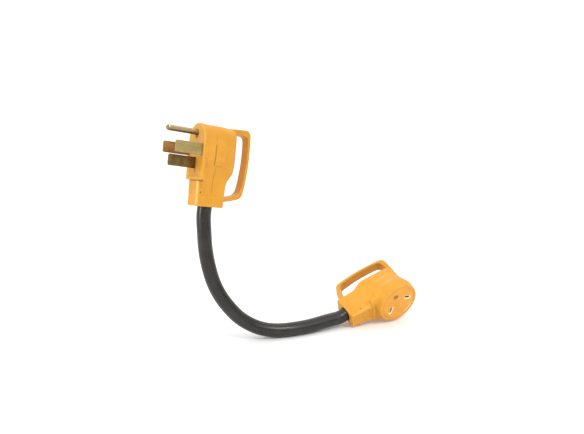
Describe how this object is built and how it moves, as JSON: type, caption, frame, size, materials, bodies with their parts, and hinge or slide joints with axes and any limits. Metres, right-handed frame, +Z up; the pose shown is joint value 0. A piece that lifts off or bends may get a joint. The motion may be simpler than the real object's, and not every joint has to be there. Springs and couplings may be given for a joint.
{
  "type": "power adapter cord",
  "caption": "Short adapter cord: a right-angle 50 A four-prong plug and a right-angle 30 A trailer connector, each with a loop handle, on one heavy cord.",
  "frame": {"origin": "middle of the footprint of the two heads, on the floor that the cord and the connector rest on", "axes": "Z up; X runs from the plug end to the connector end; the picture looks along +Y, tilted 12 degrees down"},
  "size_m": [0.2865, 0.1464, 0.2433],
  "materials": {
    "housing": "satin moulded",
    "handle": "satin moulded",
    "core": "moulded",
    "face": "moulded",
    "brass": "dull",
    "pin": "bright",
    "contact": "satin",
    "crimp": "tin plated",
    "jacket": "satin black",
    "earth_core": "satin",
    "neutral_core": "satin",
    "hot_core": "satin",
    "copper": "bare copper"
  },
  "bodies": {
    "root": {"plug_body": "housing", "plug_handle": "handle", "plug_core": "core", "hot_blade_live": "brass", "hot_blade_spare": "brass", "neutral_blade": "brass", "earth_pin": "pin", "plug_crimp_earth": "crimp", "plug_crimp_neutral": "crimp", "plug_crimp_hot": "crimp", "connector_body": "housing", "connector_handle": "handle", "connector_face": "face", "hot_contact": "contact", "neutral_contact": "contact", "earth_contact": "contact", "connector_crimp_earth": "crimp", "connector_crimp_neutral": "crimp", "connector_crimp_hot": "crimp", "cord_jacket": "jacket", "core_sheath_earth": "earth_core", "core_sheath_neutral": "neutral_core", "core_sheath_hot": "hot_core", "core_copper_earth": "copper", "core_copper_neutral": "copper", "core_copper_hot": "copper"}
  },
  "joints": []
}
